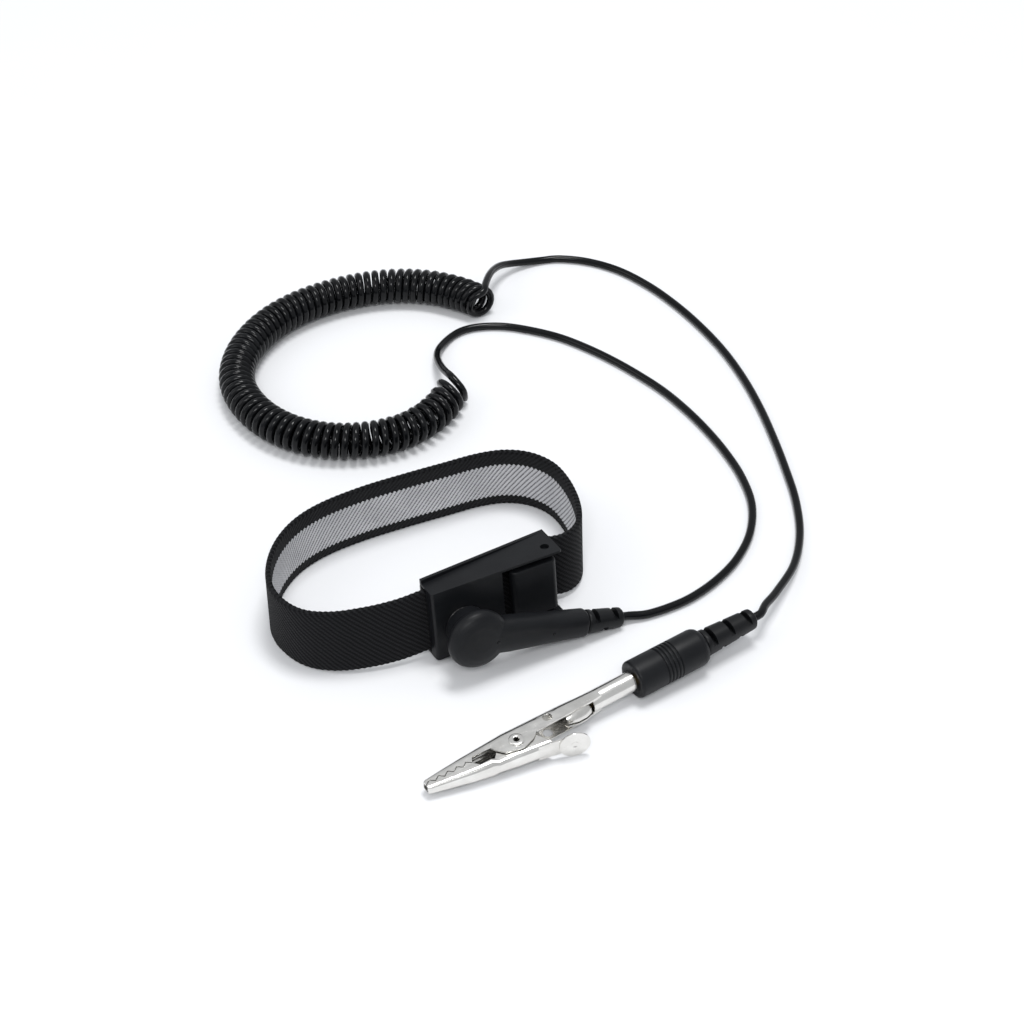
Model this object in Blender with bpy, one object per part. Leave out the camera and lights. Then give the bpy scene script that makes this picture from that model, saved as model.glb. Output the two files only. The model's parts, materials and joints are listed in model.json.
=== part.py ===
"""Anti-static wrist strap: an elastic band with a lever buckle, a coiled earth lead and an alligator clip.

The strap stands on its edge with its buckle facing -Y. Every dimension below is in millimetres,
and the mesh helpers turn it into metres. The floor is z = 0.
"""
import math

import bmesh
import bpy
from mathutils import Matrix, Vector

MM = 0.001
GAP = 0.3  # room left between pieces that touch on the real object
SLIDING_GAP = 0.05  # radial room of a shaft that turns or slides in its hole

# Whole layout: moved as one, so that the strap's own box is centred over the origin.
LAYOUT_SHIFT = (-0.53, 1.80)

# Elastic band
BAND_HEIGHT = 18.2
BAND_THICKNESS = 1.6
BAND_EDGE = 0.45
BAND_STEP = 3.6

# Buckle: x along it from its left end, y into it from its front face, z up its height.
BUCKLE_CORNER = (-9.7, -26.1, 1.62)
BUCKLE_LEAN = math.radians(8.0)
BUCKLE_LENGTH = 36.2
BUCKLE_HEIGHT = 20.0
DEPTH_LEFT = 6.7
DEPTH_RIGHT = 11.0
PLATE_THICKNESS = 0.9
PLATE_PROUD = 0.2  # how far the plate stands out of the buckle's open back
WALL = 0.6
RIM_TOP = 1.1  # how far the rim along the back's upper edge stands up at its left end
RIM_END = 0.02  # the same at its right end
RIM_THICKNESS = 0.9
FRONT_WALL = 1.4
FRONT_WALL_END = 19.4
SLOT_DEPTH = 3.2
LEVER_MARGIN = 2.6  # from the buckle's outer faces to the lever's ends
LEVER_RECESS = 0.5  # how far the lever's face lies behind the buckle's
LEVER_ROUNDING = 0.7
PIN_X = 33.2
PIN_DEPTH = 3.6
PIN_RADIUS = 1.1
PIN_SEAT = 2.2  # height of the round seats that hold the pin's ends
SEAT_ROOT = 0.25  # how deep in the walls the seats start
PIN_INSET = 1.1  # how far the pin's ends lie below the buckle's outer faces
CLOTH_CLEARANCE = 0.4

# Press stud and its socket, along the stud's axis out of the buckle's front face
STUD_X = 7.8
STUD_Z = 9.0
STUD_NECK = 1.6
STUD_HEAD = 1.9
STUD_LENGTH = 4.6
SOCKET_RADIUS = 4.4
RIVET_SHANK = 0.8

# Snap connector, along its arm from the stud's axis
ARM_SLOPE = math.radians(13.2)
ARM_SPREAD = math.tan(math.radians(0.5))
ARM_DEPTH = 7.5  # of the arm's axis in front of the buckle's face, at the stud
HEAD_RADIUS = 8.0
HEAD_DEPTH = 11.2
COLLAR_RADIUS = 5.4
COLLAR_BACK = 1.1  # how far the collar stops from the buckle's face
ARM_END = 30.3
ARM_BORE = 1.7
RELIEF_LENGTH = 10.2
SLOT_WIDTH = 1.4  # of the half-slots in both strain reliefs
SLOT_FLOOR = 0.18  # how far a half-slot stops from the middle, as a share of the relief's small end

# Cord
CORD_DIAMETER = 2.2
COIL_DIAMETER = 10.4
CORE_RADIUS = 0.5
FLOOR_CLEARANCE = 0.05

# Plug and clip: x along their axis from the plug's front face towards the clip's tip
PLUG_FRONT = (28.0, -57.1, 4.95)
PLUG_TURN = math.radians(186.0)
PLUG_TILT = math.radians(2.4)
GRIP_LENGTH = 20.9
GRIP_RADIUS = 4.9
PLUG_RELIEF_LENGTH = 15.6
BARREL_END = 12.9
BARREL_RADIUS = 2.6
BARREL_BORE = 2.2
CLIP_TIP = 59.6
CLIP_HALF_WIDTH = 3.0
TIP_HALF_WIDTH = 1.3
TAPER_START = 37.0
SHEET = 0.45
PIVOT = (35.2, 2.05)
PAD_RADIUS = 3.85
PAD_PLACE = (23.2, 8.9)
RIVET_RADIUS = 1.2
TOOTH_COUNT = 5
TOOTH_DEPTH = 1.0
EAR_PROFILE = [(1.2, 13.6), (2.1, 14.4), (2.6, 16.0), (2.65, 18.4), (1.9, 21.0), (1.5, 20.8), (2.2, 18.2),
               (2.15, 16.2), (1.7, 14.9), (0.9, 14.1)]

ROUND = 32  # sides of a large round piece
SMALL_ROUND = 20  # sides of a small round piece

MATERIALS = {
    "band_knit": ((0.012, 0.012, 0.014), 0.9, 0.0),
    "housing_plastic": ((0.022, 0.023, 0.027), 0.5, 0.0),
    "cord_jacket": ((0.010, 0.010, 0.011), 0.22, 0.0),
    "stainless": ((0.62, 0.61, 0.59), 0.28, 1.0),
    "nickel": ((0.70, 0.68, 0.64), 0.2, 1.0),
    "brass": ((0.62, 0.47, 0.22), 0.3, 1.0),
    "spring_steel": ((0.50, 0.50, 0.50), 0.3, 1.0),
    "resistor_body": ((0.42, 0.33, 0.22), 0.5, 0.0),
    "copper": ((0.70, 0.35, 0.2), 0.35, 1.0),
}


def clear_scene():
    for item in list(bpy.data.objects):
        bpy.data.objects.remove(item, do_unlink=True)


def material(name):
    """The named material, made the first time that it is asked for."""
    found = bpy.data.materials.get(name)
    if found:
        return found
    colour, roughness, metallic = MATERIALS[name]
    made = bpy.data.materials.new(name)
    made.use_nodes = True
    shader = made.node_tree.nodes["Principled BSDF"]
    shader.inputs["Base Color"].default_value = (*colour, 1.0)
    shader.inputs["Roughness"].default_value = roughness
    shader.inputs["Metallic"].default_value = metallic
    return made


def empty(name, place, turn=(0.0, 0.0, 0.0), parent=None):
    """An empty that carries a local frame; place is in millimetres."""
    frame = bpy.data.objects.new(name, None)
    bpy.context.collection.objects.link(frame)
    frame.parent = parent
    frame.location = Vector(place) * MM
    frame.rotation_euler = turn
    return frame


def add_object(name, mesh_tool, parent, slot, smooth=True):
    """Turn a bmesh in millimetres into an object under parent, faces outward and round parts smooth."""
    bmesh.ops.recalc_face_normals(mesh_tool, faces=mesh_tool.faces)
    bmesh.ops.scale(mesh_tool, vec=(MM, MM, MM), verts=mesh_tool.verts)
    mesh = bpy.data.meshes.new(name)
    mesh_tool.to_mesh(mesh)
    mesh_tool.free()
    if smooth:
        mesh.shade_smooth()
        mesh.set_sharp_from_angle(angle=math.radians(35))
    made = bpy.data.objects.new(name, mesh)
    bpy.context.collection.objects.link(made)
    made.parent = parent
    if slot:
        mesh.materials.append(material(slot))
    return made


def loft(name, rings, parent, slot=None, smooth=True):
    """A solid with closed ends through rings of equal length."""
    mesh_tool = bmesh.new()
    loops = [[mesh_tool.verts.new(point) for point in ring] for ring in rings]
    count = len(loops[0])
    for lower, upper in zip(loops, loops[1:]):
        for i in range(count):
            j = (i + 1) % count
            mesh_tool.faces.new((lower[i], lower[j], upper[j], upper[i]))
    mesh_tool.faces.new(loops[0])
    mesh_tool.faces.new(loops[-1])
    return add_object(name, mesh_tool, parent, slot, smooth)


def prism(name, outline, low, high, parent, slot=None):
    """An outline in x and y, extruded from low to high along z."""
    rings = [[(x, y, z) for x, y in outline] for z in (low, high)]
    return loft(name, rings, parent, slot, smooth=False)


def block(name, low, high, parent, slot=None):
    """A box from its lowest to its highest corner."""
    outline = [(low[0], low[1]), (high[0], low[1]), (high[0], high[1]), (low[0], high[1])]
    return prism(name, outline, low[2], high[2], parent, slot)


def turned(name, profile, axis, parent, slot=None, sides=ROUND, centre=(0.0, 0.0, 0.0)):
    """A turned solid from (radius, distance along the axis) points.

    A profile that starts and ends at radius 0 is a solid; any other profile closes into a ring.
    """
    mesh_tool = bmesh.new()
    loops = []
    for radius, along in profile:
        if radius == 0.0:
            loops.append([mesh_tool.verts.new((0.0, 0.0, along))])
            continue
        ring = []
        for i in range(sides):
            angle = math.tau * i / sides
            ring.append(mesh_tool.verts.new((radius * math.cos(angle), radius * math.sin(angle), along)))
        loops.append(ring)
    pairs = list(zip(loops, loops[1:]))
    if profile[0][0] > 0.0:
        pairs.append((loops[-1], loops[0]))
    for first, second in pairs:
        for i in range(sides):
            j = (i + 1) % sides
            corners = [first[i % len(first)], first[j % len(first)]]
            corners += [second[j % len(second)], second[i % len(second)]]
            face = []
            for corner in corners:
                if corner not in face:
                    face.append(corner)
            mesh_tool.faces.new(face)
    turn = {"X": Matrix.Rotation(math.pi / 2, 3, "Y"), "Y": Matrix.Rotation(-math.pi / 2, 3, "X"),
            "Z": Matrix.Identity(3)}[axis]
    bmesh.ops.rotate(mesh_tool, matrix=turn, verts=mesh_tool.verts)
    bmesh.ops.translate(mesh_tool, vec=centre, verts=mesh_tool.verts)
    return add_object(name, mesh_tool, parent, slot)


def boolean(target, tool, operation):
    """Join, cut or keep target with tool; the tool stays in the file as a hidden wire shape."""
    modifier = target.modifiers.new(tool.name, "BOOLEAN")
    modifier.operation = operation
    modifier.object = tool
    tool.hide_render = True
    tool.display_type = "WIRE"


def arc(centre, radius, start, end, steps):
    """Points of a round stretch of an outline, with start and end in degrees."""
    points = []
    for i in range(steps + 1):
        angle = math.radians(start + (end - start) * i / steps)
        points.append((centre[0] + radius * math.cos(angle), centre[1] + radius * math.sin(angle)))
    return points


def smooth_route(points, step):
    """Points about a step apart on a smooth curve through hand-chosen points."""
    knots = [Vector(p) for p in points]
    knots = [knots[0] * 2 - knots[1]] + knots + [knots[-1] * 2 - knots[-2]]
    dense = []
    for i in range(1, len(knots) - 2):
        before, start, end, after = knots[i - 1:i + 3]
        for k in range(24):
            t = k / 24
            dense.append(0.5 * ((2 * start) + (end - before) * t
                                + (2 * before - 5 * start + 4 * end - after) * t * t
                                + (3 * start - before - 3 * end + after) * t ** 3))
    dense.append(knots[-2])
    lengths = [0.0]
    for a, b in zip(dense, dense[1:]):
        lengths.append(lengths[-1] + (b - a).length)
    count = max(2, round(lengths[-1] / step))
    route = []
    k = 0
    for i in range(count + 1):
        wanted = lengths[-1] * i / count
        while k < len(dense) - 2 and lengths[k + 1] < wanted:
            k += 1
        share = (wanted - lengths[k]) / max(lengths[k + 1] - lengths[k], 1e-9)
        route.append(dense[k].lerp(dense[k + 1], min(share, 1.0)))
    return route


def tube(name, points, radius, parent, slot, resolution=2):
    """A round tube with closed ends along points."""
    curve = bpy.data.curves.new(name, "CURVE")
    curve.dimensions = "3D"
    curve.bevel_depth = radius * MM
    curve.bevel_resolution = resolution
    curve.use_fill_caps = True
    spline = curve.splines.new("POLY")
    spline.points.add(len(points) - 1)
    for spot, point in zip(spline.points, points):
        spot.co = (*(Vector(point) * MM), 1.0)
    spline.use_smooth = True
    made = bpy.data.objects.new(name, curve)
    bpy.context.collection.objects.link(made)
    made.parent = parent
    curve.materials.append(material(slot))
    return made


def depth_at(x):
    """How deep the wedge-shaped buckle is at x."""
    return DEPTH_LEFT + (DEPTH_RIGHT - DEPTH_LEFT) * x / BUCKLE_LENGTH


def band_depth(x):
    """Depth of the band's middle where it lies on the contact plate."""
    return depth_at(x) - PLATE_THICKNESS - CLOTH_CLEARANCE - BAND_THICKNESS / 2


# --- Strap -----------------------------------------------------------------------------------

def in_buckle(x, depth, height):
    """A place in the buckle's own frame as a place in the layout."""
    lean_sin = math.sin(BUCKLE_LEAN)
    lean_cos = math.cos(BUCKLE_LEAN)
    return (BUCKLE_CORNER[0] + x,
            BUCKLE_CORNER[1] + depth * lean_cos + height * lean_sin,
            BUCKLE_CORNER[2] - depth * lean_sin + height * lean_cos)


def make_band(parent, buckle):
    """The elastic loop: from its riveted end, round the wrist space and in under the lever."""
    middle = BUCKLE_HEIGHT / 2
    left_end = [in_buckle(x, band_depth(x), middle) for x in (14.0, 9.0, 4.0, -1.0)]
    right_end = [in_buckle(x, band_depth(x), middle) for x in (34.5, 30.5, 26.5, 22.5, 18.6)]
    low = BAND_HEIGHT / 2 + FLOOR_CLEARANCE
    loop = [(-17.5, -19.9, 10.4), (-25.0, -18.4, 10.0), (-32.5, -15.6, 9.6), (-38.2, -10.9, low),
            (-41.2, -4.6, low), (-41.5, 2.6, low), (-38.4, 10.2, low), (-33.0, 16.8, low),
            (-26.0, 21.6, low), (-17.5, 24.2, low), (-6.0, 25.1, low), (6.0, 24.7, low),
            (17.0, 24.0, low), (26.5, 23.3, low), (33.5, 21.4, low), (39.0, 17.4, low),
            (42.3, 11.2, low), (42.7, 3.8, low), (41.2, -4.4, low), (38.6, -11.0, low),
            (35.2, -15.2, 9.8), (30.6, -17.0, 10.1)]
    route = smooth_route(left_end + loop + right_end, BAND_STEP)
    rings = []
    for i, centre in enumerate(route):
        ahead = route[min(i + 1, len(route) - 1)] - route[max(i - 1, 0)]
        ahead.z = 0.0
        across = Vector((ahead.y, -ahead.x, 0.0)).normalized()
        front = max(0.0, min(1.0, (-4.0 - centre.y) / 14.0))
        lean = BUCKLE_LEAN * front
        up = Vector((0.0, math.sin(lean), math.cos(lean)))
        across = (across - up * across.dot(up)).normalized()
        half = BAND_THICKNESS / 2
        tall = BAND_HEIGHT / 2
        section = [(half, tall - BAND_EDGE), (half - BAND_EDGE, tall), (BAND_EDGE - half, tall),
                   (-half, tall - BAND_EDGE)]
        section += [(-a, -b) for a, b in section]
        rings.append([centre + across * a + up * b for a, b in section])
    band = loft("band", rings, parent, "band_knit")
    hole = turned("band_rivet_hole", solid_rod(RIVET_SHANK + GAP, -2.0, 12.0), "Y", buckle,
                  sides=SMALL_ROUND, centre=(STUD_X, 0.0, STUD_Z))
    boolean(band, hole, "DIFFERENCE")


def make_buckle_frame(parent):
    """Wedge-shaped moulded box: open at the back and, on its right part, at the front for the lever."""
    corner = 0.8
    outline = arc((corner, corner), corner, 180, 270, 4)
    outline += arc((BUCKLE_LENGTH - corner, corner), corner, 270, 360, 4)
    outline += [(BUCKLE_LENGTH, DEPTH_RIGHT - PLATE_PROUD), (0.0, DEPTH_LEFT - PLATE_PROUD)]
    frame = prism("buckle_frame", outline, 0.0, BUCKLE_HEIGHT, parent, "housing_plastic")
    left_wall = 1.2
    beyond = 14.0
    inside = [(left_wall, FRONT_WALL), (FRONT_WALL_END, FRONT_WALL), (FRONT_WALL_END, -1.0),
              (BUCKLE_LENGTH + 2.0, -1.0), (BUCKLE_LENGTH + 2.0, beyond), (-1.0, beyond),
              (-1.0, SLOT_DEPTH), (left_wall, SLOT_DEPTH)]
    room = prism("buckle_room", inside, WALL, BUCKLE_HEIGHT - WALL, parent)
    boolean(frame, room, "DIFFERENCE")
    rims = []
    for x, top in ((0.0, RIM_TOP), (BUCKLE_LENGTH - corner, RIM_END)):
        back = depth_at(x) - PLATE_PROUD
        front = back - RIM_THICKNESS
        low = BUCKLE_HEIGHT - WALL / 2
        high = BUCKLE_HEIGHT + top
        rims.append([(x, front, low), (x, back, low), (x, back, high), (x, front, high)])
    boolean(frame, loft("buckle_back_rim", rims, parent), "UNION")
    seats = ((SEAT_ROOT, PIN_SEAT), (BUCKLE_HEIGHT - PIN_SEAT, BUCKLE_HEIGHT - SEAT_ROOT))
    for i, (low, high) in enumerate(seats):
        seat = turned(f"buckle_pin_seat_{i + 1}", solid_rod(PIN_RADIUS + 0.75, low, high), "Z", parent,
                      sides=24, centre=(PIN_X, PIN_DEPTH, 0.0))
        boolean(frame, seat, "UNION")
    pin_hole = turned("buckle_pin_hole", solid_rod(PIN_RADIUS + SLIDING_GAP, -1.0, BUCKLE_HEIGHT + 1.0), "Z",
                      parent, sides=SMALL_ROUND, centre=(PIN_X, PIN_DEPTH, 0.0))
    boolean(frame, pin_hole, "DIFFERENCE")
    shank = solid_rod(RIVET_SHANK + SLIDING_GAP, -1.0, FRONT_WALL + 1.0)
    rivet_hole = turned("buckle_rivet_hole", shank, "Y", parent, sides=SMALL_ROUND,
                        centre=(STUD_X, 0.0, STUD_Z))
    boolean(frame, rivet_hole, "DIFFERENCE")


def solid_rod(radius, start, end):
    """Profile of a plain round rod."""
    return [(0.0, start), (radius, start), (radius, end), (0.0, end)]


def ring_profile(inner, outer, start, end):
    """Profile of a plain round sleeve."""
    return [(inner, start), (outer, start), (outer, end), (inner, end)]


def make_contact_plate(parent):
    """Flat steel plate that closes the buckle's back and touches the skin."""
    outline = [(0.0, DEPTH_LEFT - PLATE_THICKNESS), (BUCKLE_LENGTH, DEPTH_RIGHT - PLATE_THICKNESS),
               (BUCKLE_LENGTH, DEPTH_RIGHT), (0.0, DEPTH_LEFT)]
    inset = WALL + GAP
    plate = prism("skin_contact_plate", outline, inset, BUCKLE_HEIGHT - inset, parent, "stainless")
    hole = turned("plate_rivet_hole", solid_rod(RIVET_SHANK + SLIDING_GAP, 2.0, 12.0), "Y",
                  parent, sides=SMALL_ROUND, centre=(STUD_X, 0.0, STUD_Z))
    boolean(plate, hole, "DIFFERENCE")


def make_stud(parent):
    """Male press stud on the buckle's face and the rivet that holds it, the band and the plate together."""
    neck_end = STUD_LENGTH - 1.3
    profile = [(0.0, -STUD_LENGTH), (STUD_HEAD - 0.4, -STUD_LENGTH), (STUD_HEAD, 0.35 - STUD_LENGTH),
               (STUD_HEAD, -neck_end), (STUD_NECK, 0.4 - neck_end), (STUD_NECK, -0.8), (4.6, -0.7),
               (4.7, -GAP), (0.0, -GAP)]
    stud = turned("snap_stud", profile, "Y", parent, "nickel", centre=(STUD_X, 0.0, STUD_Z))
    socket = turned("stud_rivet_socket", solid_rod(RIVET_SHANK + SLIDING_GAP, -2.6, 0.0), "Y", parent,
                    sides=SMALL_ROUND, centre=(STUD_X, 0.0, STUD_Z))
    boolean(stud, socket, "DIFFERENCE")
    back = depth_at(STUD_X) + GAP + 0.3
    rivet = [(0.0, -2.2), (RIVET_SHANK, -2.2), (RIVET_SHANK, back), (2.3, back), (2.0, back + 0.45),
             (0.0, back + 0.6)]
    turned("stud_rivet", rivet, "Y", parent, "nickel", sides=SMALL_ROUND, centre=(STUD_X, 0.0, STUD_Z))


def make_lever(parent):
    """Clamping lever: a thin finger tab with a cam nose round its pin that presses on the band."""
    left = FRONT_WALL_END + 2.8
    right = BUCKLE_LENGTH - 1.2
    nose = band_depth(PIN_X) - BAND_THICKNESS / 2 - GAP - PIN_DEPTH
    bend = 1.6
    outline = arc((left + bend, LEVER_RECESS + bend), bend, 180, 270, 5)
    outline += arc((right - bend, LEVER_RECESS + bend), bend, 270, 360, 5)
    outline += arc((PIN_X, PIN_DEPTH), right - PIN_X, 0, 60, 4)
    outline += [(PIN_X + 0.4, PIN_DEPTH + nose), (PIN_X - 0.6, PIN_DEPTH + nose)]
    outline += arc((PIN_X, PIN_DEPTH), 2.5, 130, 180, 4)
    outline += [(PIN_X - 5.0, 3.6), (left + 0.6, 2.8)]
    lever = prism("cam_lever", outline, LEVER_MARGIN, BUCKLE_HEIGHT - LEVER_MARGIN, parent,
                  "housing_plastic")
    rounding = lever.modifiers.new("rounded_rims", "BEVEL")
    rounding.width = LEVER_ROUNDING * MM
    rounding.segments = 3
    rounding.limit_method = "ANGLE"
    rounding.angle_limit = math.radians(70.0)
    bore = turned("lever_bore", solid_rod(PIN_RADIUS + SLIDING_GAP, -1.0, BUCKLE_HEIGHT + 1.0), "Z", parent,
                  sides=SMALL_ROUND, centre=(PIN_X, PIN_DEPTH, 0.0))
    boolean(lever, bore, "DIFFERENCE")
    turned("hinge_pin", solid_rod(PIN_RADIUS, PIN_INSET, BUCKLE_HEIGHT - PIN_INSET), "Z", parent,
           "housing_plastic", sides=SMALL_ROUND, centre=(PIN_X, PIN_DEPTH, 0.0))


# --- Snap connector --------------------------------------------------------------------------

def arm_depth(x):
    """Depth of the arm's axis at x along it: it stands off the buckle a little more towards the cord."""
    return -(ARM_DEPTH + x * ARM_SPREAD)


def oval(x, height, thickness, depth, steps=20, squareness=0.75):
    """A soft-cornered section of the arm at x."""
    ring = []
    for i in range(steps):
        angle = math.tau * i / steps
        cosine = math.copysign(abs(math.cos(angle)) ** squareness, math.cos(angle))
        sine = math.copysign(abs(math.sin(angle)) ** squareness, math.sin(angle))
        ring.append((x, depth + thickness / 2 * cosine, height / 2 * sine))
    return ring


def connector_place(x):
    """A place on the connector's axis, x along it, in the layout."""
    return in_buckle(STUD_X + x * math.cos(ARM_SLOPE), arm_depth(x), STUD_Z - x * math.sin(ARM_SLOPE))


def make_connector(parent):
    """Moulded snap connector: domed head over the stud, tapered arm, spring socket and 1 megohm resistor."""
    head = [(0.0, -HEAD_DEPTH), (3.0, 0.15 - HEAD_DEPTH), (5.6, 0.7 - HEAD_DEPTH), (7.2, 1.5 - HEAD_DEPTH),
            (HEAD_RADIUS, 2.5 - HEAD_DEPTH), (HEAD_RADIUS, 3.6 - HEAD_DEPTH), (7.6, 4.6 - HEAD_DEPTH),
            (COLLAR_RADIUS + 0.2, 5.6 - HEAD_DEPTH), (COLLAR_RADIUS, -COLLAR_BACK), (0.0, -COLLAR_BACK)]
    housing = turned("connector_housing", head, "Y", parent, "housing_plastic", sides=40)
    sections = [(0.0, 9.6, 7.0), (9.0, 9.6, 7.0), (14.0, 9.0, 6.8), (22.0, 7.8, 6.6),
                (ARM_END - 0.8, 6.9, 6.3), (ARM_END, 6.3, 5.7)]
    arm = loft("connector_arm", [oval(x, tall, thick, arm_depth(x)) for x, tall, thick in sections], parent)
    boolean(housing, arm, "UNION")
    seat = turned("connector_socket_seat", solid_rod(SOCKET_RADIUS + GAP, -6.4, 1.0), "Y", parent)
    boolean(housing, seat, "DIFFERENCE")
    bore = [oval(x, 2 * ARM_BORE, 2 * ARM_BORE, arm_depth(x), 16, 1.0) for x in (2.0, ARM_END + 1.0)]
    boolean(housing, loft("connector_wire_bore", bore, parent), "DIFFERENCE")
    turned("connector_back", ring_profile(2.5, SOCKET_RADIUS, -1.9, -COLLAR_BACK), "Y", parent,
           "housing_plastic")
    cup = [(0.0, -5.3), (2.85, -5.1), (2.85, -2.55), (2.1, -2.55), (2.1, -2.2), (SOCKET_RADIUS - 0.1, -2.2),
           (SOCKET_RADIUS - 0.1, -2.6), (3.3, -2.8), (3.2, -5.5), (0.0, -5.7)]
    turned("snap_socket", cup, "Y", parent, "nickel")
    ring_radius = STUD_HEAD + SLIDING_GAP + 0.25
    wire = arc((ring_radius, -3.1), 0.25, 0, 300, 5)
    turned("socket_spring_ring", wire, "Y", parent, "spring_steel", sides=28)


def make_resistor(parent):
    """Safety resistor in the arm, with its two wires and the cord's core that joins the second one."""
    body = [(0.0, 0.0), (0.9, 0.1), (1.15, 0.5), (1.15, 1.3), (0.95, 1.7), (0.95, 4.6), (1.15, 5.0),
            (1.15, 5.8), (0.9, 6.2), (0.0, 6.3)]
    start = 11.5
    resistor = turned("resistor", body, "X", parent, "resistor_body", sides=16)
    resistor.location = Vector((start, arm_depth(start + 3.0), 0.0)) * MM
    resistor.rotation_euler.z = -math.atan(ARM_SPREAD)
    reach = [(3.8, arm_depth(3.8), 0.0), (start - GAP, arm_depth(start), 0.0)]
    tube("resistor_wire_socket_side", reach, 0.3, parent, "copper")
    after = start + 6.3 + GAP
    reach = [(after, arm_depth(after), 0.0), (after + 4.0, arm_depth(after + 4.0), 0.0)]
    tube("resistor_wire_cord_side", reach, 0.3, parent, "copper")
    after += 4.0 + GAP
    end = ARM_END + RELIEF_LENGTH
    reach = [(after, arm_depth(after), 0.0), (end, arm_depth(end), 0.0)]
    tube("core_strap_side", reach, CORE_RADIUS, parent, "copper")


def relief(name, start, length, first, last, parent, cuts, axis_depth, squash):
    """Slotted strain relief: a taper with half-slots cut from its two sides in turn."""
    stations = [0.0, 0.5, length - 0.7, length]
    sizes = [first - 0.35, first, last, last - 0.6]
    rings = []
    for along, size in zip(stations, sizes):
        x = start + along
        rings.append(oval(x, size, size * squash, axis_depth(x), 20, 0.85))
    sleeve = loft(name, rings, parent, "housing_plastic")
    pitch = length / (cuts + 0.6)
    for i in range(cuts):
        middle = start + pitch * (i + 0.75)
        side = 1 if i % 2 == 0 else -1
        low, high = sorted((side * SLOT_FLOOR * last, side * first))
        depth = axis_depth(middle)
        corner = (middle - SLOT_WIDTH / 2, depth - first, low)
        opposite = (middle + SLOT_WIDTH / 2, depth + first, high)
        cutter = block(f"{name}_slot_{i + 1}", corner, opposite, parent)
        boolean(sleeve, cutter, "DIFFERENCE")
    ends = (start - 1.0, start + length + 1.0)
    bore = [oval(x, 2 * CORE_RADIUS + 0.5, 2 * CORE_RADIUS + 0.5, axis_depth(x), 12, 1.0) for x in ends]
    boolean(sleeve, loft(f"{name}_bore", bore, parent), "DIFFERENCE")


# --- Plug and clip ---------------------------------------------------------------------------

def make_plug(parent):
    """Moulded grip, brass banana pin, its leaf spring, and the cord's core."""
    rear = -GRIP_LENGTH
    profile = [(1.75, 0.0), (GRIP_RADIUS - 0.5, 0.0), (GRIP_RADIUS - 0.12, -0.15), (GRIP_RADIUS, -0.5)]
    rib_pitch = 1.05
    first_rib = -7.6
    for i in range(5):
        start = first_rib - rib_pitch * i
        profile += [(GRIP_RADIUS, start), (GRIP_RADIUS - 0.35, start - 0.12),
                    (GRIP_RADIUS - 0.35, start - 0.38), (GRIP_RADIUS, start - 0.5)]
    profile += [(GRIP_RADIUS, rear + 1.6), (GRIP_RADIUS - 0.5, rear + 0.5), (GRIP_RADIUS - 1.2, rear),
                (1.75, rear)]
    turned("plug_grip", profile, "X", parent, "housing_plastic", sides=36)
    pin = [(0.0, -12.0), (1.45, -12.0), (1.45, 0.7), (1.1, 0.8), (1.1, 8.7), (1.45, 8.9), (1.45, 9.3),
           (0.9, 9.9), (0.0, 10.0)]
    turned("banana_pin", pin, "X", parent, "brass", sides=SMALL_ROUND)
    sleeve = [(1.2, 1.1), (1.45, 1.1), (1.7, 2.0), (2.05, 3.6), (2.14, 4.8), (2.05, 6.0), (1.7, 7.6),
              (1.45, 8.5), (1.2, 8.5), (1.45, 7.6), (1.8, 6.0), (1.89, 4.8), (1.8, 3.6), (1.45, 2.0)]
    spring = turned("banana_spring", sleeve, "X", parent, "spring_steel", sides=24)
    for i in range(2):
        slit = block(f"banana_spring_slit_{i + 1}", (1.8, -0.25, -3.0), (7.8, 0.25, 3.0), parent)
        slit.rotation_euler.x = math.pi / 2 * i
        boolean(spring, slit, "DIFFERENCE")
    end = rear - PLUG_RELIEF_LENGTH - GAP
    tube("core_plug_side", [(-12.0 - GAP, 0.0, 0.0), (end, 0.0, 0.0)], CORE_RADIUS, parent, "copper")


def channel(name, stations, side, inset, parent):
    """A body with a round-cornered back at each (x, back, half width, corner) station, open towards side.

    It trims a jaw's back and its two flat sides, and, with an inset of the sheet's thickness, its room.
    """
    rings = []
    for x, back, half, corner in stations:
        bend = max(corner - inset, 0.05)
        wide = half - inset
        deep = back + side * inset
        profile = [(deep + side * 12.0, -wide)]
        for y, z in arc((bend, bend - wide), bend, 270, 180, 4) + arc((bend, wide - bend), bend, 180, 90, 4):
            profile.append((deep + side * y, z))
        profile.append((deep + side * 12.0, wide))
        rings.append([(x, y, z) for y, z in profile])
    return loft(name, rings, parent, smooth=False)


def half_width(x):
    """Half of the clip's width at x: even up to its pivot, then narrower towards the tip."""
    share = max(0.0, (x - TAPER_START) / (CLIP_TIP - TAPER_START))
    return CLIP_HALF_WIDTH - share * (CLIP_HALF_WIDTH - TIP_HALF_WIDTH)


def tooth_line(offset):
    """The zigzag between the jaws, from the throat to the tip, moved sideways by offset."""
    start = Vector((47.2, 0.95))
    end = Vector((CLIP_TIP - 0.3, -0.1))
    along = (end - start) / (2 * TOOTH_COUNT)
    side = Vector((-along.y, along.x)).normalized()
    points = []
    for i in range(2 * TOOTH_COUNT + 1):
        height = TOOTH_DEPTH / 2 if i % 2 == 0 else -TOOTH_DEPTH / 2
        points.append(tuple(start + along * i + side * (height + offset)))
    return points


def folded_jaw(name, outline, stations, side, room_start, parent):
    """A jaw folded from sheet: its outline trimmed to a round-backed channel, and its room taken out."""
    jaw = prism(name, outline, -6.0, 6.0, parent, "nickel")
    boolean(jaw, channel(f"{name}_outside", stations, side, 0.0, parent), "INTERSECT")
    inside = [(room_start, *stations[0][1:])] + [station for station in stations if station[0] > room_start]
    boolean(jaw, channel(f"{name}_room", inside, side, SHEET, parent), "DIFFERENCE")
    return jaw


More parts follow.
